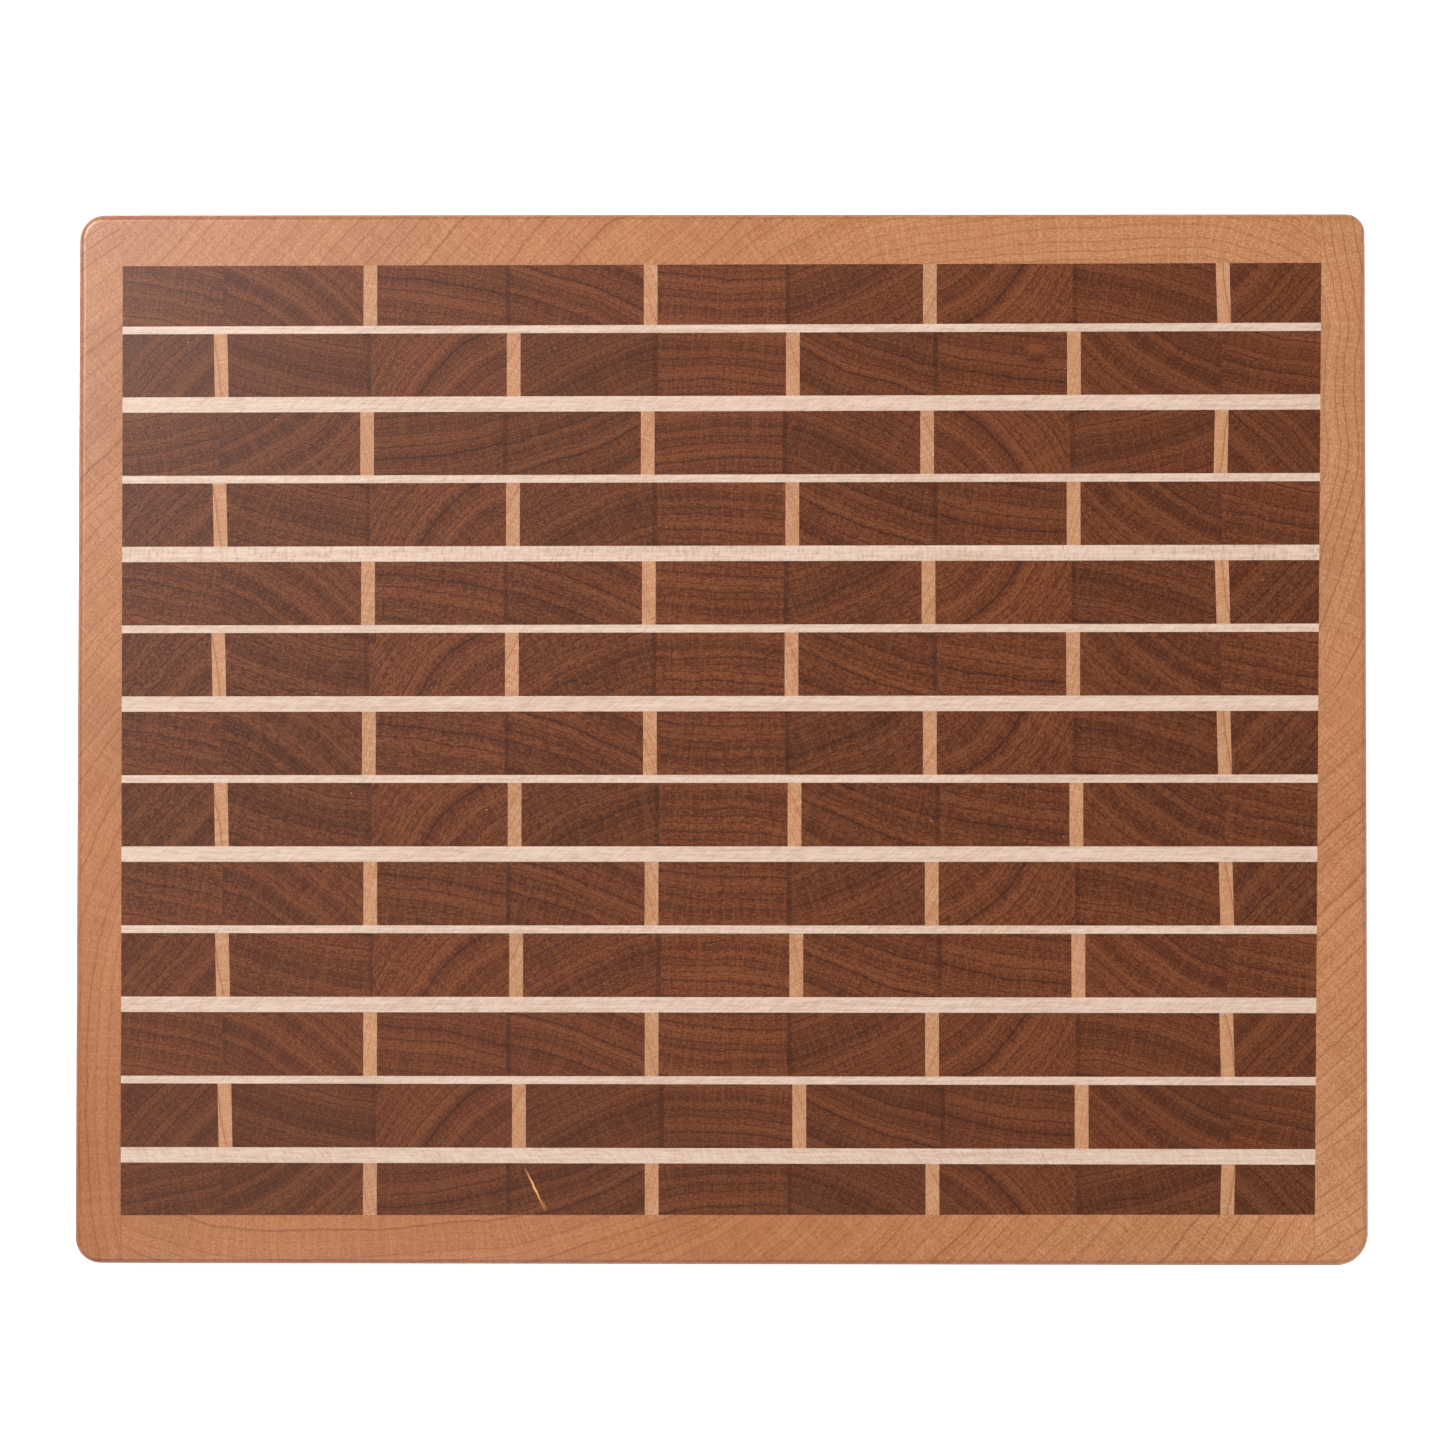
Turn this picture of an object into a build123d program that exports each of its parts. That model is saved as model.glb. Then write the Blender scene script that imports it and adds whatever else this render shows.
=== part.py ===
from build123d import *
import os

# An end-grain cutting board in a brick pattern, in millimetres.
#
# Thirteen rows of dark wood blocks lie in running bond, like a brick wall seen from the front.
# Every brick is a pair of blocks glued edge to edge, with a pale spacer between bricks. Long pale
# strips, thin and thick in turn, lie between the rows like bed joints. Four end-grain rails frame
# the core: the two side rails run the full depth and the back and front rails fit between them.
#
# All the rows are slices of one glued panel. Every second slice was turned end for end, and two
# others were turned over. The board is made by hand, so its pieces taper and slip a little.
#
# The frame: +X to the right, +Y to the back, +Z up. The origin is the centre of the underside.

# The whole board
LENGTH = 508.0
DEPTH = 413.8
THICKNESS = 38.0
EDGE_ROUND = 3.0
BACK_LEFT_CORNER = 10.0
BACK_RIGHT_CORNER = 7.5
FRONT_LEFT_CORNER = 10.0
FRONT_RIGHT_CORNER = 12.5

# Widths of the frame's rails at their two ends: at the back and the front of the side rails,
# and at the left and the right of the others
LEFT_RAIL = (17.5, 18.3)
RIGHT_RAIL = (17.4, 21.4)
BACK_RAIL = (20.7, 19.7)
FRONT_RAIL = (19.1, 20.2)

# The rows and the strips between them, from the back, as depths at the left and at the right.
# The front row takes what is left inside the frame.
ROWS = 13
BACK_ROW_DEPTH = (24.0, 23.6)
ROW_DEPTH = (25.0, 25.0)
THIN_STRIP = (3.0, 3.25)
THICK_STRIP = (6.05, 6.05)

# The glued panel that the rows are sliced from, left to right. It is longer than the core.
# The joints of its last spacer lean: they move this far to the right for each millimetre
# towards the front.
PLANK_WIDTHS = (53.8, 53.7, 52.6, 52.7, 52.3, 52.4, 55.4, 54.8, 55.0)
PLANKS_BEFORE_SPACER = (2, 4, 6, 8)
SPACER_WIDTH = 5.4
PANEL_LEFT = -249.0
LAST_SPACER_LEAN = 0.023

# Rows that were turned over, and how far each row slid to the right before the glue set
TURNED_OVER_ROWS = (3, 13)
ROW_SLIP = (0.3, 0.2, -0.8, 0.0, -0.3, -0.3, 0.2, 0.9, 0.9, 1.6, 1.0, 2.8, 1.1)

# Worked out from the above. A line is a pair of points.
RIGHT = LENGTH / 2
LEFT = -RIGHT
BACK = DEPTH / 2
FRONT = -BACK
BOARD_BACK = ((LEFT, BACK), (RIGHT, BACK))
BOARD_FRONT = ((LEFT, FRONT), (RIGHT, FRONT))
CORE_LEFT = ((LEFT + LEFT_RAIL[0], BACK), (LEFT + LEFT_RAIL[1], FRONT))
CORE_RIGHT = ((RIGHT - RIGHT_RAIL[0], BACK), (RIGHT - RIGHT_RAIL[1], FRONT))
CORE_BACK = ((LEFT, BACK - BACK_RAIL[0]), (RIGHT, BACK - BACK_RAIL[1]))
CORE_FRONT = ((LEFT, FRONT + FRONT_RAIL[0]), (RIGHT, FRONT + FRONT_RAIL[1]))

def cross(first, second):
    """The point where two straight lines meet."""
    (x1, y1), (x2, y2) = first
    (x3, y3), (x4, y4) = second
    turn = (x2 - x1) * (y4 - y3) - (y2 - y1) * (x4 - x3)
    share = ((x3 - x1) * (y4 - y3) - (y3 - y1) * (x4 - x3)) / turn
    return x1 + share * (x2 - x1), y1 + share * (y2 - y1)

def moved_forward(line, depths):
    """A glue line moved towards the front, by one depth at its left end and one at its right."""
    (x1, y1), (x2, y2) = line
    return (x1, y1 - depths[0]), (x2, y2 - depths[1])

def prism(left, right, back, front):
    """A full-thickness piece between four straight glue lines."""
    corners = [cross(left, front), cross(right, front), cross(right, back), cross(left, back)]
    return extrude(Polygon(*corners, align=None), amount=THICKNESS)

def panel_joints():
    """(kind, left joint, right joint) for the panel's pieces from the left. A joint is (x, lean)."""
    pieces = []
    joint = (PANEL_LEFT, 0.0)
    for number, width in enumerate(PLANK_WIDTHS, start=1):
        lean = LAST_SPACER_LEAN if number == PLANKS_BEFORE_SPACER[-1] else 0.0
        next_joint = (joint[0] + width, lean)
        pieces.append(("plank", joint, next_joint))
        joint = next_joint
        if number in PLANKS_BEFORE_SPACER:
            next_joint = (joint[0] + SPACER_WIDTH, lean)
            pieces.append(("spacer", joint, next_joint))
            joint = next_joint
    return pieces

def row_joints(number):
    """The panel's pieces as they lie in a row, which may be turned and has slipped to the right."""
    pieces = panel_joints()
    if number % 2 == 0:
        pieces = [
            (kind, (-right, right_lean), (-left, left_lean))
            for kind, (left, left_lean), (right, right_lean) in reversed(pieces)
        ]
    over = -1.0 if number in TURNED_OVER_ROWS else 1.0
    slip = ROW_SLIP[number - 1]
    return [
        (kind, (left + slip, over * left_lean), (right + slip, over * right_lean))
        for kind, (left, left_lean), (right, right_lean) in pieces
    ]

def joint_line(joint, middle):
    """The line of a row's joint. The joint's x is where it crosses the row's middle."""
    x, lean = joint
    reach = ROW_DEPTH[0]
    return (x - lean * reach, middle + reach), (x + lean * reach, middle - reach)

def row_solids(number, back, front):
    """(left blocks, right blocks, spacers) of a row. A left block's brick goes on to its right."""
    middle = (back[0][1] + front[0][1]) / 2
    row_middle = ((LEFT, middle), (RIGHT, middle))
    core_left_x = cross(CORE_LEFT, row_middle)[0]
    core_right_x = cross(CORE_RIGHT, row_middle)[0]
    left_blocks, right_blocks, spacers = [], [], []
    blocks = left_blocks if number % 2 else right_blocks
    for kind, left_joint, right_joint in row_joints(number):
        left = CORE_LEFT if left_joint[0] < core_left_x else joint_line(left_joint, middle)
        right = CORE_RIGHT if right_joint[0] > core_right_x else joint_line(right_joint, middle)
        piece = prism(left, right, back, front)
        if kind == "spacer":
            spacers.append(piece)
            blocks = left_blocks
        else:
            blocks.append(piece)
            blocks = right_blocks
    return left_blocks, right_blocks, spacers

def board_outline():
    """The finished board as one solid, with its rounded corners and edges, to cut the rails from."""
    outline = Rectangle(LENGTH, DEPTH)
    rounds = {
        (LEFT, BACK): BACK_LEFT_CORNER,
        (RIGHT, BACK): BACK_RIGHT_CORNER,
        (LEFT, FRONT): FRONT_LEFT_CORNER,
        (RIGHT, FRONT): FRONT_RIGHT_CORNER,
    }
    for corner, radius in rounds.items():
        outline = fillet(outline.vertices().sort_by_distance(corner)[0], radius)
    slab = extrude(outline, amount=THICKNESS)
    rims = slab.edges().group_by(Axis.Z)
    return fillet(rims[0] + rims[-1], EDGE_ROUND)

def rails():
    """The solids of the frame's four rails by name."""
    outline = board_outline()
    board_left = ((LEFT, BACK), (LEFT, FRONT))
    board_right = ((RIGHT, BACK), (RIGHT, FRONT))
    regions = {
        "left_rail": prism(board_left, CORE_LEFT, BOARD_BACK, BOARD_FRONT),
        "right_rail": prism(CORE_RIGHT, board_right, BOARD_BACK, BOARD_FRONT),
        "back_rail": prism(CORE_LEFT, CORE_RIGHT, BOARD_BACK, CORE_BACK),
        "front_rail": prism(CORE_LEFT, CORE_RIGHT, CORE_FRONT, BOARD_FRONT),
    }
    return {name: (outline & region).solids() for name, region in regions.items()}

def core():
    """The solids of each node of the core by name, row by row from the back."""
    nodes = {}
    back = CORE_BACK
    for number in range(1, ROWS + 1):
        if number == ROWS:
            front = CORE_FRONT
        else:
            front = moved_forward(back, BACK_ROW_DEPTH if number == 1 else ROW_DEPTH)
        left_blocks, right_blocks, spacers = row_solids(number, back, front)
        nodes[f"row_{number:02d}_left_blocks"] = left_blocks
        nodes[f"row_{number:02d}_right_blocks"] = right_blocks
        nodes[f"row_{number:02d}_spacers"] = spacers
        if number < ROWS:
            kind, depths = ("thin", THIN_STRIP) if number % 2 else ("thick", THICK_STRIP)
            back = moved_forward(front, depths)
            nodes[f"{kind}_strip_{number:02d}"] = [prism(CORE_LEFT, CORE_RIGHT, front, back)]
    return nodes

def main():
    os.makedirs("parts", exist_ok=True)
    for name, solids in {**rails(), **core()}.items():
        export_step(Compound(children=list(solids)), f"parts/{name}.step")

main()
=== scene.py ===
import math

import bpy
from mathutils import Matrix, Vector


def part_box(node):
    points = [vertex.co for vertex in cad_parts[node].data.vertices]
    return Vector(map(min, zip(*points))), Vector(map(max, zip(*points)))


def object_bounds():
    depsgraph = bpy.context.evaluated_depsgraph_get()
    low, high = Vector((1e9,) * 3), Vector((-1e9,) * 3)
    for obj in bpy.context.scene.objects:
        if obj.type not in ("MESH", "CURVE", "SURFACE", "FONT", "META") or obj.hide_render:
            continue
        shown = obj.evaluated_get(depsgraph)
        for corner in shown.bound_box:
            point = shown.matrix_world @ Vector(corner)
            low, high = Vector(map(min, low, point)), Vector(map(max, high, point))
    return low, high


# The looks of an end-grain cutting board. Its CAD pieces keep their shapes, and every piece gets
# a solid wood material: a 3-D figure of growth rings, rays and pores, so that the end grain on
# top, the long grain on the sides and the underside all come from the same block of wood.
# Materials work in millimetres; Blender objects are in metres.

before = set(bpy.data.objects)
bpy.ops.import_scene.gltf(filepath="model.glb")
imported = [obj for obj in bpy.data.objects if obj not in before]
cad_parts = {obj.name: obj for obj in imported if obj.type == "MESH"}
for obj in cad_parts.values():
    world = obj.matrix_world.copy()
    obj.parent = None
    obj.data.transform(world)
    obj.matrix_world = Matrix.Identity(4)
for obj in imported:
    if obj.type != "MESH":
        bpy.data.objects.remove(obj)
CAD_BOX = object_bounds()
MM = 0.001

# ---------------------------------------------------------------- building node trees


class Graph:
    """Builds a node tree by calls. Each call adds a node and returns its output socket."""

    def __init__(self, tree):
        self.tree = tree

    def feed(self, socket, value):
        """Links a socket's value in, or sets a plain value."""
        if isinstance(value, bpy.types.NodeSocket):
            self.tree.links.new(value, socket)
        else:
            socket.default_value = value

    def node(self, kind, inputs=(), **settings):
        """A new node with its settings, and its inputs fed by name or number."""
        node = self.tree.nodes.new(kind)
        for name, value in settings.items():
            setattr(node, name, value)
        for name, value in dict(inputs).items():
            self.feed(node.inputs[name], value)
        return node

    def math(self, operation, *values):
        return self.node("ShaderNodeMath", enumerate(values), operation=operation).outputs[0]

    def add(self, a, b):
        return self.math("ADD", a, b)

    def sub(self, a, b):
        return self.math("SUBTRACT", a, b)

    def mul(self, a, b):
        return self.math("MULTIPLY", a, b)

    def mul_add(self, a, b, c):
        """a times b, plus c."""
        return self.math("MULTIPLY_ADD", a, b, c)

    def vector(self, operation, *values, output=0):
        """Vector maths. Output 1 is the number of a length or a dot product."""
        node = self.node("ShaderNodeVectorMath", enumerate(values), operation=operation)
        return node.outputs[output]

    def combine(self, x, y, z=0.0):
        """A vector from three numbers."""
        return self.node("ShaderNodeCombineXYZ", {0: x, 1: y, 2: z}).outputs[0]

    def separate(self, vector):
        """The three numbers of a vector."""
        return tuple(self.node("ShaderNodeSeparateXYZ", {0: vector}).outputs)

    def smooth(self, value, low, high, out_low=0.0, out_high=1.0):
        """A smooth step from out_low, where the value is at low, to out_high, where it is at high."""
        inputs = {0: value, 1: low, 2: high, 3: out_low, 4: out_high}
        return self.node("ShaderNodeMapRange", inputs, interpolation_type="SMOOTHSTEP").outputs[0]

    def fall(self, value, reach):
        """1 up to the near end of a (near, far) reach and 0 beyond its far end."""
        return self.smooth(value, *reach, 1.0, 0.0)

    def about_zero(self, value, strength):
        """A value from 0 to 1, centred on 0 and scaled."""
        return self.mul(self.sub(value, 0.5), strength)

    def noise(self, vector, detail=1.0, rough=0.5, output=0):
        """3-D noise with one feature per unit of the vector. Output 1 is a vector of noises."""
        inputs = {"Vector": vector, "Scale": 1.0, "Detail": detail, "Roughness": rough}
        return self.node("ShaderNodeTexNoise", inputs).outputs[output]

    def noise_1d(self, value, detail=0.0):
        """Noise along a line, with one feature per unit of the value."""
        inputs = {"W": value, "Scale": 1.0, "Detail": detail}
        return self.node("ShaderNodeTexNoise", inputs, noise_dimensions="1D").outputs[0]

    def random(self, value):
        """A random number from 0 to 1 for each value."""
        inputs = {"W": value}
        return self.node("ShaderNodeTexWhiteNoise", inputs, noise_dimensions="1D").outputs[0]

    def blend(self, share, a, b):
        """A colour from a to b."""
        return self.node("ShaderNodeMix", {0: share, 6: a, 7: b}, data_type="RGBA").outputs[2]

    def scale(self, vector, factor):
        """A vector or colour times a number."""
        return self.vector("SCALE", vector, (0, 0, 0), (0, 0, 0), factor)

    def blend_vector(self, share, a, b):
        """A vector from a to b."""
        return self.node("ShaderNodeMix", {0: share, 4: a, 5: b}, data_type="VECTOR").outputs[1]

    def pick(self, flags, choices):
        """The choice for the last flag that is up, or the first choice. Choices are vectors."""
        chosen = choices[0]
        for flag, choice in zip(flags, choices[1:]):
            chosen = self.blend_vector(flag, chosen, choice)
        return chosen


def new_group(name, inputs, outputs):
    """A node group's (tree, graph, input sockets by name, output node)."""
    tree = bpy.data.node_groups.new(name, "ShaderNodeTree")
    for label, kind in inputs.items():
        tree.interface.new_socket(label, in_out="INPUT", socket_type=f"NodeSocket{kind}")
    for label, kind in outputs.items():
        tree.interface.new_socket(label, in_out="OUTPUT", socket_type=f"NodeSocket{kind}")
    start = tree.nodes.new("NodeGroupInput")
    end = tree.nodes.new("NodeGroupOutput")
    return tree, Graph(tree), {label: start.outputs[label] for label in inputs}, end


def use_group(graph, tree, **inputs):
    """The outputs by name of a group used in a graph. An input's spaces are underscores here."""
    node = graph.tree.nodes.new("ShaderNodeGroup")
    node.node_tree = tree
    for name, value in inputs.items():
        graph.feed(node.inputs[name.replace("_", " ")], value)
    return node.outputs


# ---------------------------------------------------------------- the grain of any wood


# How far the rings wander from even spacing, in rings, and where in a ring, from 0 to 1, its dark
# line comes in and goes out
RING_WANDER = 1.7
LINE_RISE = (0.79, 0.92)
LINE_FALL = (0.93, 1.0)
WEAKEST_LINE = 0.35

# The specks: their radius and soft edge as shares of a cell, and which shares of the cells hold
# a pale and a dark one
SPECK_EDGE = (0.012, 0.036)
PALE_ABOVE = 0.80
DARK_BELOW = 0.30


def grain_group():
    """The fine structure of end grain, from how far a point lies across and along the rings.

    Line is the dark line at the end of each ring, Late the slow darkening before it, Band a tone
    that changes over a few rings, Ray the thin rays that cross the rings, Speckle the pores, and
    Pale and Dark are rare specks. A number that scales a coordinate is in features per millimetre.
    It is small along the height, which is the way the grain runs.
    """
    tree, g, given, end = new_group(
        "grain",
        {"Across": "Float", "Along": "Float", "Point": "Vector", "Spacing": "Float", "Seed": "Float"},
        {
            "Line": "Float", "Late": "Float", "Band": "Float", "Ray": "Float", "Speckle": "Float",
            "Pale": "Float", "Dark": "Float",
        },
    )
    across, along, seed = given["Across"], given["Along"], given["Seed"]
    x, y, z = g.separate(given["Point"])

    # Which ring the point is in, and how far through it
    offset = g.mul(seed, 17.3)
    rings = g.math("DIVIDE", across, given["Spacing"])
    wander = g.noise_1d(g.mul_add(rings, 0.31, offset))
    phase = g.add(g.mul(wander, RING_WANDER), rings)
    ring = g.math("FLOOR", phase)
    share = g.sub(phase, ring)

    # The ring's line, of its own strength and broken here and there, and the tones around it
    strength = g.mul_add(g.random(g.add(ring, offset)), 1 - WEAKEST_LINE, WEAKEST_LINE)
    rise = g.smooth(share, *LINE_RISE)
    fall = g.fall(share, LINE_FALL)
    broken = g.noise(g.combine(g.mul(along, 0.55), g.mul(across, 0.3), g.mul(z, 0.05)), detail=2.0)
    line = g.mul(g.mul(rise, fall), g.mul(strength, g.smooth(broken, 0.30, 0.60, 0.6, 1.0)))
    late = g.mul(g.math("POWER", share, 1.6), g.mul_add(strength, 0.8, 0.2))
    band = g.noise_1d(g.add(g.mul(across, 0.17), offset), detail=1.5)

    # Rays, and pores that are partly even and partly drawn out along the rings
    fan = g.combine(g.mul(along, 1.5), g.mul(across, 0.05), g.mul(z, 0.2))
    ray = g.smooth(g.noise(fan, detail=1.0), 0.50, 0.68)
    fine = g.noise(g.combine(g.mul(x, 1.6), g.mul(y, 1.6), g.mul(z, 0.1)), detail=2.0, rough=0.75)
    drawn = g.noise(g.combine(g.mul(along, 0.7), g.mul(across, 2.0), g.mul(z, 0.1)), detail=1.0)
    speckle = g.add(g.mul(fine, 0.52), g.mul(drawn, 0.48))

    # Rare specks, at most one in each cell of a random grid
    cell = g.vector("MULTIPLY", given["Point"], (0.075, 0.075, 0.006))
    cells = g.node("ShaderNodeTexVoronoi", {"Vector": cell, "Scale": 1.0, "Randomness": 1.0})
    speck = g.fall(cells.outputs["Distance"], SPECK_EDGE)
    kind = g.separate(cells.outputs["Color"])[0]
    pale = g.mul(speck, g.math("GREATER_THAN", kind, PALE_ABOVE))
    dark = g.mul(speck, g.math("LESS_THAN", kind, DARK_BELOW))
    found = {
        "Line": line, "Late": late, "Band": band, "Ray": ray, "Speckle": speckle, "Pale": pale,
        "Dark": dark,
    }
    for name, value in found.items():
        g.feed(end.inputs[name], value)
    return tree


def toned(g, shade, dark, middle, light):
    """A colour for a shade: dark below about 0, the middle colour near a half, light near 1."""
    colour = g.blend(g.smooth(shade, 0.5, 1.1), middle, light)
    return g.blend(g.smooth(shade, 0.5, -0.1), colour, dark)


def finish_wood(g, end, lines, colour, rough, pore_depth):
    """Sets a wood group's outputs. Pores and ring lines lie lower, and pores are smoother."""
    g.feed(end.inputs["Color"], colour)
    g.feed(end.inputs["Roughness"], g.add(rough, g.about_zero(lines["Speckle"], 0.3)))
    pores = lines["Speckle"] if pore_depth == 1 else g.mul(lines["Speckle"], pore_depth)
    g.feed(end.inputs["Height"], g.sub(pores, g.mul(lines["Line"], 0.3)))


def warped(g, point, slow_reach, quick_reach):
    """A point moved a little by two noises. The grain runs up, so they change slowly with height."""
    slow = g.noise(g.vector("MULTIPLY", point, (0.042, 0.042, 0.006)), output=1)
    quick = g.noise(g.vector("MULTIPLY", point, (0.14, 0.14, 0.012)), detail=1.0, output=1)
    middle = (0.5, 0.5, 0.5)
    slow = g.scale(g.vector("SUBTRACT", slow, middle), slow_reach)
    quick = g.scale(g.vector("SUBTRACT", quick, middle), quick_reach)
    return g.vector("ADD", g.vector("ADD", point, slow), quick)


# ---------------------------------------------------------------- walnut blocks

# The planks of the panel that the rows are sliced from. For each: its width, the slope of its
# rings in degrees at its left and right edges, their spacing, how far above the plank's middle
# a dark band and a light band lie, its tone, and how dark its glue joints are.
PLANKS = (
    (53.8, -6, -14, 2.7, 9.5, -3.5, 1.01, 0.2),
    (53.7, -22, -46, 2.6, -14.0, 13.0, 0.97, 0.2),
    (52.6, -3, -14, 3.3, 8.0, 2.0, 0.99, 0.7),
    (52.7, -13, -27, 3.1, -5.0, 9.0, 0.97, 0.7),
    (52.3, -8, 3, 3.0, -6.0, 4.0, 1.06, 0.7),
    (52.4, 16, 33, 3.4, 5.0, -7.0, 0.93, 0.7),
    (55.4, 26, 60, 2.8, 12.0, -9.0, 1.08, 0.5),
    (54.8, -8, -22, 3.1, 3.0, -8.0, 0.93, 0.5),
    (55.0, 44, 52, 3.1, -9.0, 8.0, 0.92, 0.5),
)
PANEL_LEFT = -249.0
SPACER_WIDTH = 5.4
PLANKS_BEFORE_SPACER = (2, 4, 6, 8)

# The rows: which are turned over, how far each slid to the right, how light each one is, and how
# far apart in the panel the slices lay
ROWS = 13
TURNED_OVER_ROWS = (3, 13)
ROW_SLIP = (0.3, 0.2, -0.8, 0.0, -0.3, -0.3, 0.2, 0.9, 0.9, 1.6, 1.0, 2.8, 1.1)
ROW_TONE = (1.06, 0.98, 0.98, 0.99, 1.00, 1.00, 0.96, 0.98, 0.99, 1.07, 1.04, 0.96, 0.93)
SLICE_PITCH = 41.0

# Walnut's colours, how strongly its surface mirrors, and its roughness
WALNUT_DARK = (0.062, 0.0158, 0.0062, 1)
WALNUT_MID = (0.110, 0.0272, 0.0082, 1)
WALNUT_LIGHT = (0.176, 0.0535, 0.0180, 1)
WALNUT_LINE = (0.031, 0.0080, 0.0040, 1)
WALNUT_PALE = (0.42, 0.25, 0.15, 1)
WALNUT_SHINE = 0.41
WALNUT_ROUGHNESS = 0.37

# How far the rings of walnut are bent by slow and by quick noise
WALNUT_BEND = (3.6, 1.3)

# Half the width of the dark and light bands, from their full strength to none, and their strength
BAND_EDGE = (0.6, 4.2)
BAND_STRENGTH = 0.20

# The dark glue lines: how far they reach into a block at its sides and at its ends, how dark the
# line at the ends is beside the one at the sides, and how dark the darkest is
SIDE_GLUE = (0.02, 0.13)
END_GLUE = (0.05, 0.40)
END_GLUE_SHARE = 0.35
GLUE_STRENGTH = 0.58


def pith(width, left_slope, right_slope):
    """The centre of rings that have these slopes at the two ends of a plank's middle line."""
    left, right = math.radians(left_slope), math.radians(right_slope)
    reach = width * math.cos(right) / math.sin(right - left)
    return -reach * math.sin(left), reach * math.cos(left)


def plank_edges():
    """(left, right) of each plank in the panel."""
    edges = []
    left = PANEL_LEFT
    for number, plank in enumerate(PLANKS, start=1):
        edges.append((left, left + plank[0]))
        left += plank[0] + (SPACER_WIDTH if number in PLANKS_BEFORE_SPACER else 0.0)
    return edges


def walnut_group(grain):
    """Oiled walnut end grain. Point is (x in the panel, y in the slice, height) in millimetres."""
    tree, g, given, end = new_group(
        "walnut",
        {"Point": "Vector", "Row": "Float", "Tone": "Float", "Half depth": "Float"},
        {"Color": "Color", "Roughness": "Float", "Height": "Float"},
    )
    point = given["Point"]
    x, y, _ = g.separate(point)

    # The values of the plank that the point is in
    edges = plank_edges()
    flags = [g.math("GREATER_THAN", x, left - SPACER_WIDTH / 3) for left, _ in edges[1:]]
    piths, rings, bands, sides = [], [], [], []
    for number, ((left, right), plank) in enumerate(zip(edges, PLANKS)):
        width, left_slope, right_slope, spacing, dark, light, tone, joint = plank
        pith_x, pith_y = pith(width, left_slope, right_slope)
        radius = math.hypot(width / 2 - pith_x, pith_y)
        piths.append((left + pith_x, pith_y, radius))
        rings.append((spacing, number + 1.0, tone))
        bands.append((dark, light, 1.0 if pith_y < 0 else -1.0))
        sides.append((left, right, joint))
    pith_x, pith_y, radius = g.separate(g.pick(flags, piths))
    spacing, seed, tone = g.separate(g.pick(flags, rings))
    dark, light, side = g.separate(g.pick(flags, bands))
    left, right, joint = g.separate(g.pick(flags, sides))

    # How far the point lies across the rings and along them
    bent = warped(g, g.vector("ADD", point, g.combine(0, 0, seed)), *WALNUT_BEND)
    bent_x, bent_y, _ = g.separate(bent)
    from_pith_x, from_pith_y = g.sub(bent_x, pith_x), g.sub(bent_y, pith_y)
    distance = g.vector("LENGTH", g.combine(from_pith_x, from_pith_y), output=1)
    across = g.mul(g.sub(distance, radius), side)
    centre_x = g.sub(g.mul(g.add(left, right), 0.5), pith_x)
    centre_y = g.mul(pith_y, -1.0)
    turned = g.sub(g.mul(centre_x, from_pith_y), g.mul(centre_y, from_pith_x))
    ahead = g.add(g.mul(centre_x, from_pith_x), g.mul(centre_y, from_pith_y))
    along = g.mul(g.math("ARCTAN2", turned, ahead), radius)
    lines = use_group(g, grain, Across=across, Along=along, Point=point, Spacing=spacing, Seed=seed)

    # Colour: bands that follow the rings and pores, then the rays, ring lines and specks
    dark_band = g.fall(g.math("ABSOLUTE", g.sub(across, dark)), BAND_EDGE)
    light_band = g.fall(g.math("ABSOLUTE", g.sub(across, light)), BAND_EDGE)
    shade = g.mul_add(g.sub(lines["Band"], 0.5), 1.5, 0.56)
    shade = g.add(shade, g.mul(g.sub(light_band, dark_band), BAND_STRENGTH))
    shade = g.sub(shade, g.mul(lines["Late"], 0.28))
    shade = g.add(shade, g.about_zero(lines["Speckle"], 5.4))
    colour = toned(g, shade, WALNUT_DARK, WALNUT_MID, WALNUT_LIGHT)
    colour = g.blend(g.mul(lines["Ray"], 0.44), colour, WALNUT_LIGHT)
    colour = g.blend(g.mul(lines["Line"], 0.84), colour, WALNUT_LINE)
    colour = g.blend(g.mul(lines["Pale"], 0.8), colour, WALNUT_PALE)
    colour = g.blend(g.mul(lines["Dark"], 0.5), colour, WALNUT_LINE)

    # How light it is: by plank, by row, by patch and, a little, by block
    patch = g.noise(g.scale(point, 0.03))
    block = g.random(g.add(g.mul(seed, 31.7), given["Row"]))
    level = g.mul(g.mul(tone, given["Tone"]), g.add(g.mul_add(patch, 0.20, 0.88), g.mul(block, 0.05)))
    colour = g.scale(colour, level)

    # The glue lines around each block
    side_gap = g.math("MINIMUM", g.sub(x, left), g.sub(right, x))
    end_gap = g.sub(given["Half depth"], g.math("ABSOLUTE", y))
    seam = g.mul(g.fall(side_gap, SIDE_GLUE), joint)
    rim = g.mul(g.fall(end_gap, END_GLUE), END_GLUE_SHARE)
    glue = g.math("MAXIMUM", seam, rim)
    colour = g.blend(g.mul(glue, GLUE_STRENGTH), colour, WALNUT_LINE)

    finish_wood(g, end, lines, colour, WALNUT_ROUGHNESS, 1.2)
    return tree


# ---------------------------------------------------------------- maple rails and spacers

MAPLE_DARK = (0.306, 0.109, 0.038, 1)
MAPLE_MID = (0.404, 0.162, 0.063, 1)
MAPLE_LIGHT = (0.515, 0.248, 0.120, 1)
MAPLE_LINE = (0.235, 0.070, 0.022, 1)
MAPLE_ROUGHNESS = 0.38

# How strongly the surfaces of rails and strips mirror, and those of the spacers
MAPLE_SHINE = 0.72
SPACER_SHINE = 0.55

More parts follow.
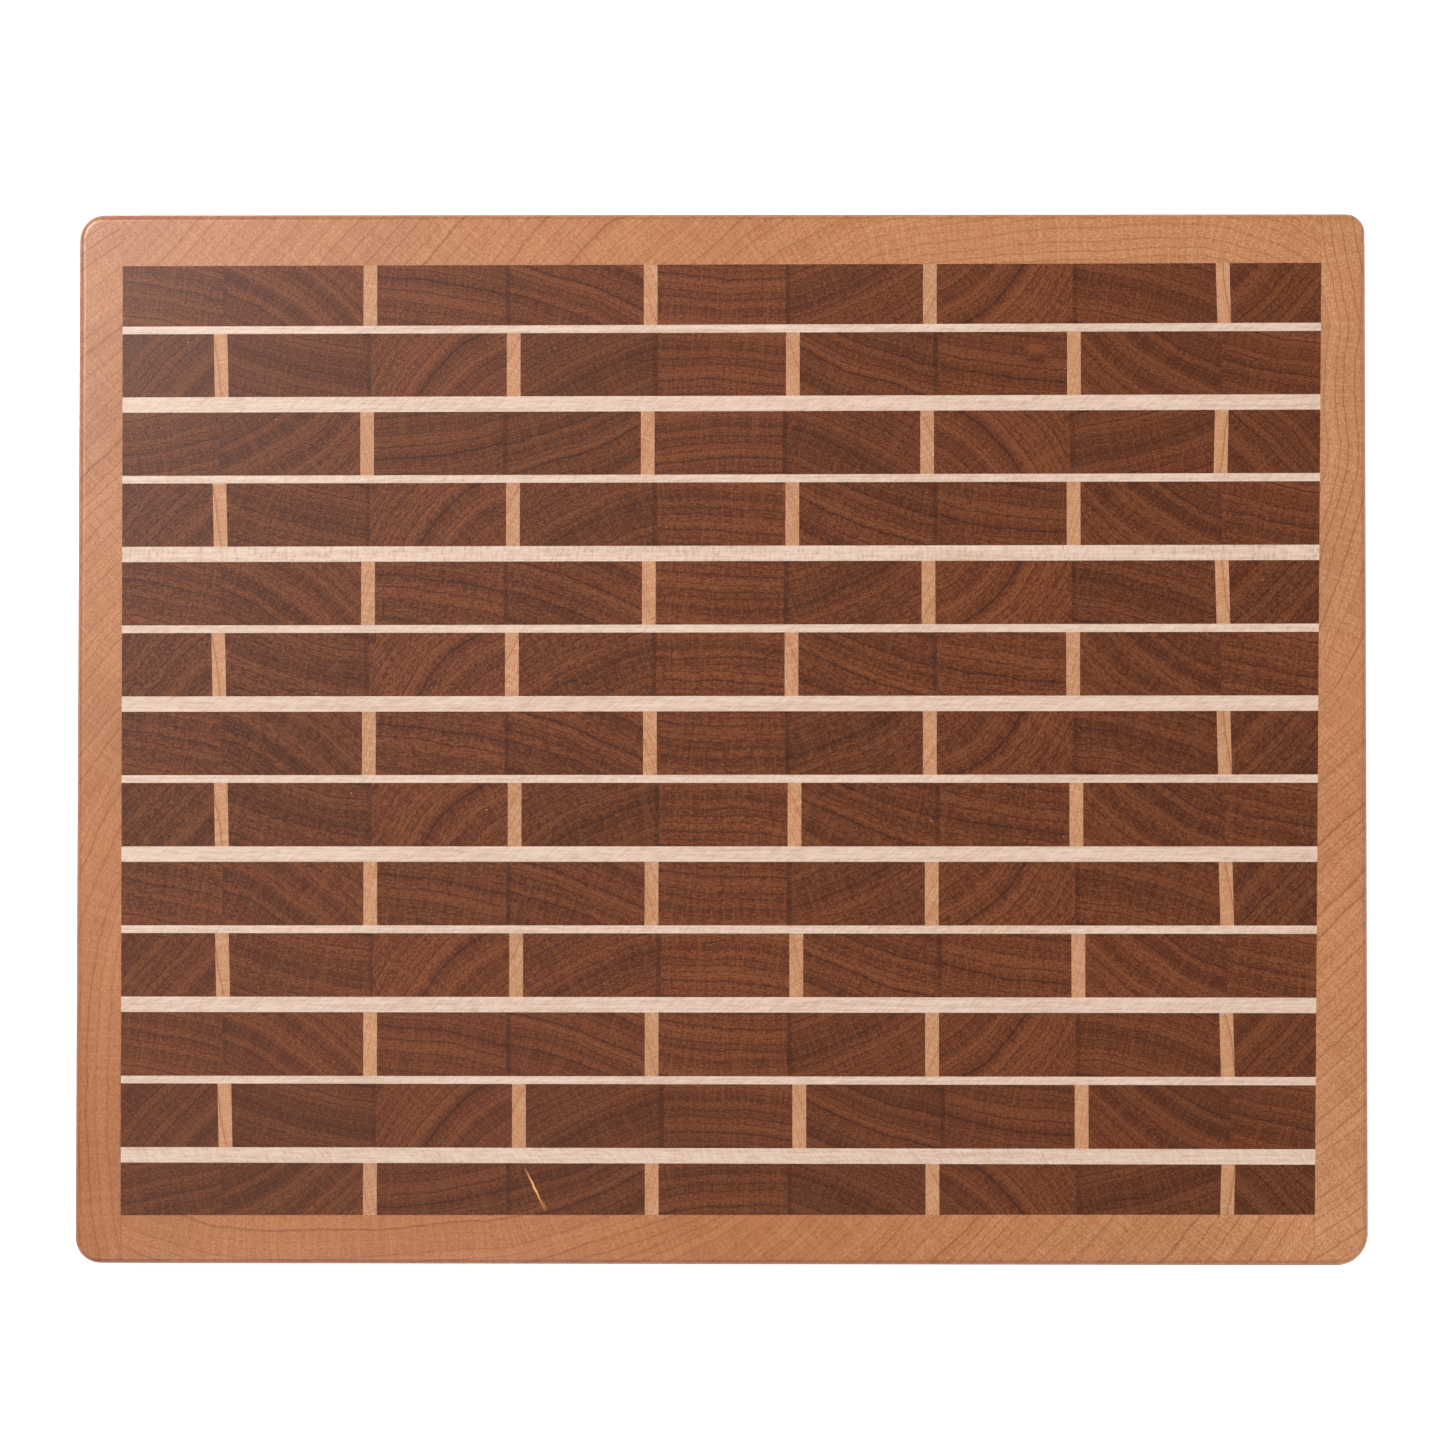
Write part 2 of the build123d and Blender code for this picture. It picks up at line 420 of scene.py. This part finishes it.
# The rings in each rail: how far along it, their slope there in degrees and their spacing. Along
# is to the right in the back and front rails and to the front in the side rails. A slope of 90
# degrees lies straight across the rail, towards the back or the right.
RAIL_RINGS = {
    "back_rail": (
        (-254, 50, 4.6), (-166, 50, 4.4), (-124, 48, 4.2), (-80, 50, 4.4), (-48, 45, 4.0),
        (-36, 42, 2.6), (-12, 40, 2.6), (9, 38, 4.2), (31, 25, 4.6), (46, 30, 4.4), (62, 15, 4.0),
        (94, 6, 3.8), (135, 2, 4.4), (160, 4, 4.6), (182, 0, 4.6), (196, -15, 4.4),
        (212, -17, 4.4), (228, -35, 4.4), (254, -44, 4.4),
    ),
    "front_rail": (
        (-254, -27, 4.4), (-213, -18, 4.6), (-198, -8, 4.4), (-182, 0, 4.4), (-150, 0, 4.4),
        (-135, 6, 4.2), (-95, 3, 4.4), (-76, 20, 4.2), (-56, 17, 4.4), (-32, 20, 4.4),
        (-17, 25, 4.0), (-1, 34, 3.6), (15, 40, 3.0), (26, 42, 2.6), (36, 42, 3.0),
        (50, 44, 4.2), (70, 47, 4.4), (135, 46, 4.6), (169, 48, 4.4), (196, 55, 4.4),
        (220, 60, 4.4), (254, 60, 4.4),
    ),
    "left_rail": (
        (-207, -58, 4.4), (-174, -56, 4.4), (-134, -45, 4.6), (-75, -46, 4.4), (-40, -40, 4.0),
        (-16, -40, 3.0), (-6, -39, 2.6), (4, -36, 3.2), (16, -30, 4.0), (43, -25, 4.4),
        (63, -22, 4.4), (83, -10, 4.2), (102, -2, 4.4), (142, 0, 4.4), (165, 2, 4.4),
        (189, 7, 4.4), (207, 7, 4.4),
    ),
    "right_rail": (
        (-207, 7, 4.4), (-181, 12, 4.4), (-170, 12, 4.2), (-158, -8, 4.2), (-142, -2, 4.4),
        (-124, 7, 4.4), (-110, -12, 4.4), (-79, -18, 4.4), (-55, -20, 4.2), (-40, -25, 3.8),
        (-24, -38, 2.8), (-10, -43, 2.6), (0, -45, 3.6), (16, -48, 4.2), (63, -45, 4.6),
        (102, -45, 4.4), (134, -48, 4.4), (153, -52, 4.4), (181, -56, 4.4), (207, -58, 4.4),
    ),
}

# How light each rail is, at even steps along it
RAIL_TONE = {
    "back_rail": (0.94, 0.94, 0.95, 0.96, 0.97, 0.99, 1.02, 1.03, 0.99),
    "front_rail": (0.88, 0.90, 0.89, 0.91, 0.87, 0.91, 0.98, 1.01, 1.11),
    "left_rail": (0.99, 0.91, 0.94, 0.94, 0.91, 0.91, 0.89, 0.84, 0.84),
    "right_rail": (1.06, 1.04, 1.04, 1.02, 1.00, 1.00, 1.01, 1.05, 1.09),
}

# The millimetres that one ring counts for in the fine structure of a rail
RAIL_SPACING = 3.9

# How far the rings of a rail are bent by slow and by quick noise
RAIL_BEND = (3.0, 1.2)

# How much painted shade darkens the rounded rim, where its edge turns away from the light, close to
# the board's outline and in a wider band, and how far in from the outline each reaches, and how far
# from the top and the underside both fade out
OUTER_PAINTED_SHADE = 0.42
OUTER_REACH = (0.1, 0.9)
INNER_PAINTED_SHADE = 0.13
INNER_REACH = (0.6, 3.6)
ROUNDED_HEIGHT = (2.2, 4.5)

# How light the back and front rails are where they meet the side rails, and how far that reaches
END_TONE = 0.72
END_REACH = (0.05, 0.45)

# How many even steps the rings are summed up in along a rail
RAIL_STEPS = 64


def maple_group(grain):
    """Oiled maple end grain. Strength is how strongly its figure shows."""
    tree, g, given, end = new_group(
        "maple",
        {
            "Across": "Float", "Along": "Float", "Point": "Vector", "Spacing": "Float",
            "Seed": "Float", "Strength": "Float", "Tint": "Color",
        },
        {"Color": "Color", "Roughness": "Float", "Height": "Float"},
    )
    asked = {name: given[name] for name in ("Across", "Along", "Point", "Spacing", "Seed")}
    lines = use_group(g, grain, **asked)
    strength = given["Strength"]
    shade = g.mul_add(g.sub(lines["Band"], 0.5), 0.6, 0.52)
    shade = g.sub(shade, g.mul(lines["Late"], 0.12))
    shade = g.add(shade, g.mul(g.about_zero(lines["Speckle"], 3.6), strength))
    colour = toned(g, shade, MAPLE_DARK, MAPLE_MID, MAPLE_LIGHT)
    colour = g.blend(g.mul(lines["Ray"], 0.42), colour, MAPLE_LIGHT)
    colour = g.blend(g.mul(lines["Line"], g.mul(strength, 0.85)), colour, MAPLE_LINE)
    colour = g.blend(g.mul(lines["Dark"], 0.3), colour, MAPLE_LINE)
    patch = g.noise(g.scale(given["Point"], 0.02), detail=1.0)
    colour = g.scale(colour, g.mul_add(patch, 0.24, 0.88))
    colour = g.vector("MULTIPLY", colour, given["Tint"])
    finish_wood(g, end, lines, colour, MAPLE_ROUGHNESS, 1)
    return tree


def curve(g, value, start, stop, heights):
    """A smooth curve through evenly spaced heights between two values."""
    low, high = min(heights), max(heights)
    span = max(high - low, 1e-6)
    share = g.math("DIVIDE", g.sub(value, start), stop - start)
    node = g.node("ShaderNodeFloatCurve", {"Value": share})
    line = node.mapping.curves[0]
    last = len(heights) - 1
    line.points[0].location = (0.0, (heights[0] - low) / span)
    line.points[-1].location = (1.0, (heights[-1] - low) / span)
    for number in range(1, last):
        line.points.new(number / last, (heights[number] - low) / span)
    node.mapping.update()
    return g.mul_add(node.outputs[0], span, low)


def between(table, place, column):
    """A column of a table at a place between its rows, whose first column is the place."""
    for low, high in zip(table, table[1:]):
        if place <= high[0]:
            share = (place - low[0]) / (high[0] - low[0])
            return low[column] + share * (high[column] - low[column])
    return table[-1][column]


def gap_between(g, value, low, high):
    """How far a value in millimetres is from the nearer of two limits in metres."""
    return g.math("MINIMUM", g.sub(value, low / MM), g.sub(high / MM, value))


def painted_rim_shade(g, point):
    """How light the wood is near the board's rim: painted shade that darkens the rounded edge."""
    low, high = CAD_BOX
    x, y, z = g.separate(point)
    side_gap = gap_between(g, x, low.x, high.x)
    end_gap = gap_between(g, y, low.y, high.y)
    gap = g.math("MINIMUM", side_gap, end_gap)
    rounded = g.fall(gap_between(g, z, low.z, high.z), ROUNDED_HEIGHT)
    # Painted shade: darker close to the outline and in a wider band inside it
    outer = g.smooth(gap, *OUTER_REACH, OUTER_PAINTED_SHADE, 0.0)
    inner = g.smooth(gap, *INNER_REACH, INNER_PAINTED_SHADE, 0.0)
    return g.sub(1.0, g.mul(g.add(outer, inner), rounded))


def rail_sums(table):
    """What the rings do at even steps along a rail, as four lists.

    The first two are the rings crossed and the distance run along the rings, both on the rail's
    middle line. The other two are how fast each of these grows across the rail.
    """
    start, stop = table[0][0], table[-1][0]
    step = (stop - start) / RAIL_STEPS
    rings, run = 0.0, 0.0
    rings_at, run_at, ring_rate_at, run_rate_at = [], [], [], []
    for number in range(RAIL_STEPS + 1):
        place = start + number * step
        slope = math.radians(between(table, place, 1))
        spacing = between(table, place, 2)
        rings_at.append(rings)
        run_at.append(run)
        ring_rate_at.append(math.cos(slope) / spacing)
        run_rate_at.append(math.sin(slope))
        rings -= math.sin(slope) / spacing * step
        run += math.cos(slope) * step
    return rings_at, run_at, ring_rate_at, run_rate_at


def rail_material(name, maple):
    """The maple of a rail, whose rings turn along it."""
    material, g = new_material(name)
    runs_sideways = name in ("back_rail", "front_rail")
    low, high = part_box(name)
    middle_x, middle_y = (low.x + high.x) / 2 / MM, (low.y + high.y) / 2 / MM
    point = point_mm(g)

    # How far the point lies along the rail and across it, and from these its place in the rings
    bent_x, bent_y, _ = g.separate(warped(g, point, *RAIL_BEND))
    if runs_sideways:
        u, v = bent_x, g.sub(bent_y, middle_y)
    else:
        u, v = g.mul(bent_y, -1.0), g.sub(bent_x, middle_x)
    table = RAIL_RINGS[name]
    start, stop = table[0][0], table[-1][0]
    rings_at, run_at, ring_rate_at, run_rate_at = rail_sums(table)
    rings = g.mul_add(v, curve(g, u, start, stop, ring_rate_at), curve(g, u, start, stop, rings_at))
    run = g.mul_add(v, curve(g, u, start, stop, run_rate_at), curve(g, u, start, stop, run_at))

    # How light it is, with painted shade on the rounded rim. A darker tone is also a redder one.
    tone = g.mul(curve(g, u, start, stop, RAIL_TONE[name]), painted_rim_shade(g, point))
    if runs_sideways:
        gap = gap_between(g, g.separate(point)[0], low.x, high.x)
        tone = g.mul(tone, g.smooth(gap, *END_REACH, END_TONE, 1.0))
    tone_squared = g.mul(tone, tone)
    asked = {
        "Across": g.mul(rings, RAIL_SPACING), "Along": run, "Point": point, "Spacing": RAIL_SPACING,
        "Seed": float(len(name)), "Strength": 1.0,
        "Tint": g.combine(tone, tone_squared, g.mul(tone_squared, tone)),
    }
    made = use_group(g, maple, **asked)
    oiled(g, flawed(g, name, made["Color"]), made["Roughness"], made["Height"], MAPLE_SHINE)
    return material


# The panel's spacers: the slope of the rings in each in degrees, and the places in the panel that
# part one spacer from the next
SPACER_SLOPES = (75, -70, 62, -80)
SPACER_BORDERS = (-83.0, 28.0, 140.0)

# All of them: the spacing of their rings, how strongly their figure shows, how much paler they
# are than the rails, the first of their seeds, and how far slow and quick noise bend their rings
SPACER_SPACING = 3.3
SPACER_STRENGTH = 0.85
SPACER_TINT = (1.11, 1.30, 1.64, 1.0)
SPACER_SEED = 20.0
SPACER_BEND = (3.0, 1.0)


def spacer_material(number, maple):
    """The maple of one row's spacers: four slats with rings across them."""
    material, g = new_material(f"spacers_row_{number:02d}")
    point = warped(g, slice_point(g, number), *SPACER_BEND)
    x, y, _ = g.separate(point)
    flags = [g.math("GREATER_THAN", x, border) for border in SPACER_BORDERS]
    turns = []
    for index, slope in enumerate(SPACER_SLOPES):
        turn = math.radians(slope)
        turns.append((math.cos(turn), math.sin(turn), index + SPACER_SEED))
    cos, sin, seed = g.separate(g.pick(flags, turns))
    across = g.sub(g.mul(y, cos), g.mul(x, sin))
    along = g.add(g.mul(x, cos), g.mul(y, sin))
    asked = {
        "Across": across, "Along": along, "Point": point, "Spacing": SPACER_SPACING, "Seed": seed,
        "Strength": SPACER_STRENGTH, "Tint": SPACER_TINT,
    }
    made = use_group(g, maple, **asked)
    oiled(g, made["Color"], made["Roughness"], made["Height"], SPACER_SHINE)
    return material


# ---------------------------------------------------------------- flaws in the wood

CRACK = (0.80, 0.36, 0.13, 1)
CRACK_END = (0.40, 0.13, 0.035, 1)
KNOT_LIGHT = (0.210, 0.056, 0.016, 1)
KNOT_DARK = (0.050, 0.011, 0.004, 1)
BLOTCH = (0.33, 0.095, 0.022, 1)

# By material: each flaw's centre in x and y, half length, half width, direction in degrees,
# colour and strength
FLAWS = {
    "walnut_row_13": (
        (-73.0, -176.8, 10.6, 0.55, -64, CRACK, 0.95),
        (-69.6, -183.6, 3.2, 1.2, -64, CRACK_END, 0.7),
    ),
    "walnut_row_02": (
        (124.4, 153.5, 6.5, 2.4, -8, KNOT_LIGHT, 0.65),
        (124.0, 148.7, 6.0, 1.9, -8, KNOT_DARK, 0.75),
    ),
    "left_rail": (
        (-238.2, 118.4, 5.0, 1.8, 60, BLOTCH, 0.40),
        (-245.0, 108.0, 4.5, 1.8, 50, BLOTCH, 0.35),
        (-245.5, -160.0, 10.0, 3.0, 70, BLOTCH, 0.25),
    ),
}


def flawed(g, name, colour):
    """A colour with the flaws of its material: soft-edged streaks and blotches."""
    for centre_x, centre_y, length, width, direction, stain, strength in FLAWS.get(name, ()):
        x, y, z = g.separate(point_mm(g))
        wave = g.noise(g.combine(g.mul(x, 0.4), g.mul(y, 0.4), g.mul(z, 0.05)), detail=2.0)
        x, y = g.sub(x, centre_x), g.sub(y, centre_y)
        turn = math.radians(direction)
        along = g.add(g.mul(x, math.cos(turn) / length), g.mul(y, math.sin(turn) / length))
        away = g.sub(g.mul(y, math.cos(turn) / width), g.mul(x, math.sin(turn) / width))
        away = g.add(away, g.mul_add(wave, 1.6, -0.8))
        reach = g.vector("LENGTH", g.combine(along, away), output=1)
        colour = g.blend(g.smooth(reach, 0.25, 1.0, strength, 0.0), colour, stain)
    return colour


# ---------------------------------------------------------------- maple strips

STRIP_DARK = (0.470, 0.310, 0.215, 1)
STRIP_LIGHT = (0.660, 0.500, 0.408, 1)
STRIP_LINE = (0.370, 0.200, 0.110, 1)
STRIP_ROUGHNESS = 0.42

# How far apart the strips lie in the wood that they are all cut from, so that no two look alike
STRIP_PITCH = 60.0

# Per strip from the back: the slope of its flecks, and how strongly dark dashes stand across it
STRIP_FIGURE = (
    (1.4, 0.5), (1.1, 0.4), (0.6, 0.2), (0.1, 1.0), (0.9, 0.2), (1.3, 0.3),
    (0.8, 0.2), (1.2, 0.3), (0.7, 0.2), (1.0, 0.3), (1.2, 0.3), (-0.6, 0.4),
)


def strip_material(number):
    """The maple of a strip, whose grain runs along it."""
    material, g = new_material(f"strip_{number:02d}")
    slant, dashes = STRIP_FIGURE[number - 1]
    point = g.vector("ADD", point_mm(g), (0, 0, STRIP_PITCH * number))
    x, y, z = g.separate(point)
    lean = g.sub(x, g.mul(y, slant))
    long = g.noise(g.combine(g.mul(x, 0.02), g.mul(y, 0.8), g.mul(z, 0.8)), detail=3.0, rough=0.6)
    short = g.noise(g.combine(g.mul(x, 0.15), g.mul(y, 1.6), g.mul(z, 1.6)), detail=1.0)
    fleck = g.noise(g.combine(g.mul(lean, 1.0), g.mul(y, 0.35), g.mul(z, 0.3)), detail=2.0, rough=0.7)
    dash = g.smooth(fleck, 0.54, 0.70)
    shade = g.add(g.about_zero(long, 0.7), g.about_zero(short, 0.6))
    shade = g.sub(shade, g.about_zero(fleck, 0.7))
    colour = g.blend(g.smooth(shade, -0.40, 0.30), STRIP_DARK, STRIP_LIGHT)
    colour = g.blend(g.mul(dash, 0.35 * dashes), colour, STRIP_LINE)
    grain = g.add(g.mul(short, 0.6), g.mul(fleck, 0.4))
    rough = g.add(STRIP_ROUGHNESS, g.about_zero(grain, 0.25))
    oiled(g, colour, rough, grain, MAPLE_SHINE)
    return material


# ---------------------------------------------------------------- materials and their finish

# The relief of the wood's surface in millimetres, and how strongly oil bends light
RELIEF = 0.05
OIL_IOR = 1.5


def new_material(name):
    """An empty node material as (material, graph)."""
    material = bpy.data.materials.new(name)
    material.use_nodes = True
    material.node_tree.nodes.clear()
    return material, Graph(material.node_tree)


def surface(graph, inputs, shine):
    """Makes a shader the material's surface and returns it. Shine is how strongly it mirrors."""
    shader = graph.node("ShaderNodeBsdfPrincipled", inputs)
    shader.inputs["Specular IOR Level"].default_value = shine
    output = graph.node("ShaderNodeOutputMaterial")
    graph.tree.links.new(shader.outputs[0], output.inputs["Surface"])
    return shader


def oiled(graph, colour, rough, height, shine):
    """Satin oiled wood: the surface of every piece."""
    bump = graph.node("ShaderNodeBump", {"Height": height, "Strength": 1.0, "Distance": RELIEF * MM})
    inputs = {"Base Color": colour, "Roughness": rough, "Normal": bump.outputs[0], "IOR": OIL_IOR}
    surface(graph, inputs, shine)


def point_mm(graph):
    """The point on the piece in millimetres, in the board's frame."""
    return graph.scale(graph.node("ShaderNodeTexCoord").outputs["Object"], 1 / MM)


def row_box(number):
    """(lowest y, highest y) of a row in millimetres."""
    low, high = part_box(f"row_{number:02d}_spacers")
    return low.y / MM, high.y / MM


def slice_point(graph, number):
    """A row's point as it was in the panel: (x in the panel, y in the slice, height)."""
    low, high = row_box(number)
    x, y, z = graph.separate(point_mm(graph))
    x = graph.sub(x, ROW_SLIP[number - 1])
    y = graph.sub(y, (low + high) / 2)
    if number % 2 == 0:
        x, y = graph.mul(x, -1.0), graph.mul(y, -1.0)
    if number in TURNED_OVER_ROWS:
        y = graph.mul(y, -1.0)
    return graph.combine(x, y, graph.add(z, SLICE_PITCH * number))


def walnut_material(number, walnut):
    """The walnut of one row's blocks."""
    material, graph = new_material(f"walnut_row_{number:02d}")
    low, high = row_box(number)
    half_depth = (high - low) / 2
    point = slice_point(graph, number)
    asked = {"Row": float(number), "Tone": ROW_TONE[number - 1], "Half_depth": half_depth}
    made = use_group(graph, walnut, Point=point, **asked)
    colour = flawed(graph, material.name, made["Color"])
    oiled(graph, colour, made["Roughness"], made["Height"], WALNUT_SHINE)
    return material


def cover(node, material):
    """Gives a CAD node its material."""
    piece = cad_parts[node]
    piece.data.materials.clear()
    piece.data.materials.append(material)


# ---------------------------------------------------------------- studio

# The floor: its size and how far it lies below the board in metres, its colour and its glow
FLOOR_SIZE = 12.0
FLOOR_GAP = 0.5 * MM
FLOOR_COLOUR = (0.93, 0.93, 0.93, 1)
FLOOR_ROUGHNESS = 0.9
FLOOR_GLOW = 0.55

# The room: how bright it is near eye level and overhead, and where it fades from one to the other,
# from 0 at eye level to 1 straight up
LOW_ROOM = 0.70
HIGH_ROOM = 0.06
ROOM_FADE = (0.12, 0.35)
WHITE = (1, 1, 1, 1)

# The lights: place and size in metres, power in watts, and whether shiny surfaces mirror them
LIGHTS = {
    "key": ((-1.20, 0.92, 1.80), 0.8, 48.2, True),
    "fill": ((1.55, 0.05, 2.05), 2.0, 41.2, False),
    "front": ((-0.60, -1.25, 1.80), 1.2, 11.0, True),
}

# The camera: its lens and the width of its sensor in millimetres, its place in metres and its
# turn in degrees
LENS = 85.0
SENSOR_WIDTH = 36.0
EYE = (0.0134, -0.0215, 1.380)
EYE_TURN = (1.173, 0.543, 0.038)


def pale_floor():
    """A wide pale sheet under the board. It glows a little, so that it stays white everywhere."""
    bpy.ops.mesh.primitive_plane_add(size=FLOOR_SIZE, location=(0, 0, -FLOOR_GAP))
    floor = bpy.context.object
    floor.name = "floor"
    material, graph = new_material("floor")
    shader = surface(graph, {"Base Color": FLOOR_COLOUR, "Roughness": FLOOR_ROUGHNESS}, 0.0)
    shader.inputs["Emission Color"].default_value = WHITE
    shader.inputs["Emission Strength"].default_value = FLOOR_GLOW
    floor.data.materials.append(material)


def pale_room():
    """A room that is pale near eye level and dim overhead."""
    world = bpy.data.worlds.new("room")
    world.use_nodes = True
    graph = Graph(world.node_tree)
    upward = graph.separate(graph.node("ShaderNodeTexCoord").outputs["Generated"])[2]
    background = world.node_tree.nodes["Background"]
    background.inputs["Color"].default_value = WHITE
    brightness = graph.smooth(upward, *ROOM_FADE, LOW_ROOM, HIGH_ROOM)
    graph.feed(background.inputs["Strength"], brightness)
    bpy.context.scene.world = world


def soft_light(name, place, size, watts, mirrored):
    """A square soft light that faces the board."""
    data = bpy.data.lights.new(name, "AREA")
    data.size = size
    data.energy = watts
    light = bpy.data.objects.new(name, data)
    light.location = place
    light.rotation_euler = (-light.location).to_track_quat("-Z", "Y").to_euler()
    light.visible_glossy = mirrored
    bpy.context.scene.collection.objects.link(light)


def studio():
    """A pale floor and room, with soft light from the back left, the right and the front."""
    pale_floor()
    pale_room()
    for name, settings in LIGHTS.items():
        soft_light(name, *settings)
    bpy.context.scene.view_settings.view_transform = "Standard"


def camera():
    """Nearly straight above the board, a little towards its front and its right."""
    data = bpy.data.cameras.new("camera")
    data.lens = LENS
    data.sensor_width = SENSOR_WIDTH
    eye = bpy.data.objects.new("camera", data)
    eye.location = EYE
    eye.rotation_euler = [math.radians(angle) for angle in EYE_TURN]
    bpy.context.scene.collection.objects.link(eye)
    bpy.context.scene.camera = eye


# ---------------------------------------------------------------- the whole scene


def dress():
    """Gives every piece its wood."""
    grain = grain_group()
    walnut = walnut_group(grain)
    maple = maple_group(grain)
    for name in RAIL_RINGS:
        cover(name, rail_material(name, maple))
    for number in range(1, ROWS + 1):
        material = walnut_material(number, walnut)
        cover(f"row_{number:02d}_left_blocks", material)
        cover(f"row_{number:02d}_right_blocks", material)
        cover(f"row_{number:02d}_spacers", spacer_material(number, maple))
    for number in range(1, ROWS):
        kind = "thin" if number % 2 else "thick"
        cover(f"{kind}_strip_{number:02d}", strip_material(number))


def main():
    dress()
    studio()
    camera()


main()
